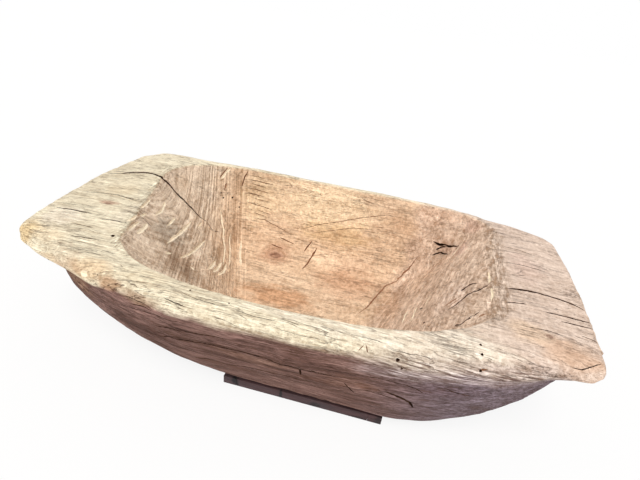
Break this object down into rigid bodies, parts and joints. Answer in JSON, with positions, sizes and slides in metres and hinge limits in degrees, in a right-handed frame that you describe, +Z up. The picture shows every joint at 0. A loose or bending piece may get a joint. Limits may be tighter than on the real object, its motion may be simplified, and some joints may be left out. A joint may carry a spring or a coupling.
{
  "type": "grinding bowl",
  "caption": "Trough-shaped grinding bowl hewn from a log, with a broad ledge handle at each end, standing loose on a low pegged frame.",
  "frame": {"origin": "on the ground the stand rests on, in the middle of the bowl's length and width", "axes": "+X along the log from the longer ledge to the shorter one, +Y from the side with the dark front rail in view to the back, +Z up out of the hollow"},
  "size_m": [0.8467, 0.4659, 0.2083],
  "materials": {
    "bowl_wood": "bare weathered wood, matt, hewn with chisel and gouge",
    "stand_wood": "dark stained wood, half matt",
    "peg_wood": "bare end grain, matt"
  },
  "bodies": {
    "stand": {"stand_front_rail": "stand_wood", "stand_back_rail": "stand_wood", "stand_left_bar": "stand_wood", "stand_right_bar": "stand_wood", "stand_peg_front_left": "peg_wood", "stand_peg_front_right": "peg_wood", "stand_peg_back_left": "peg_wood", "stand_peg_back_right": "peg_wood"},
    "bowl": {"bowl_body": "bowl_wood"}
  },
  "joints": [
    {"name": "bowl_lift", "type": "slide", "parent": "stand", "child": "bowl", "axis": [0, 0, 1], "range_m": [0, 0.25]}
  ]
}
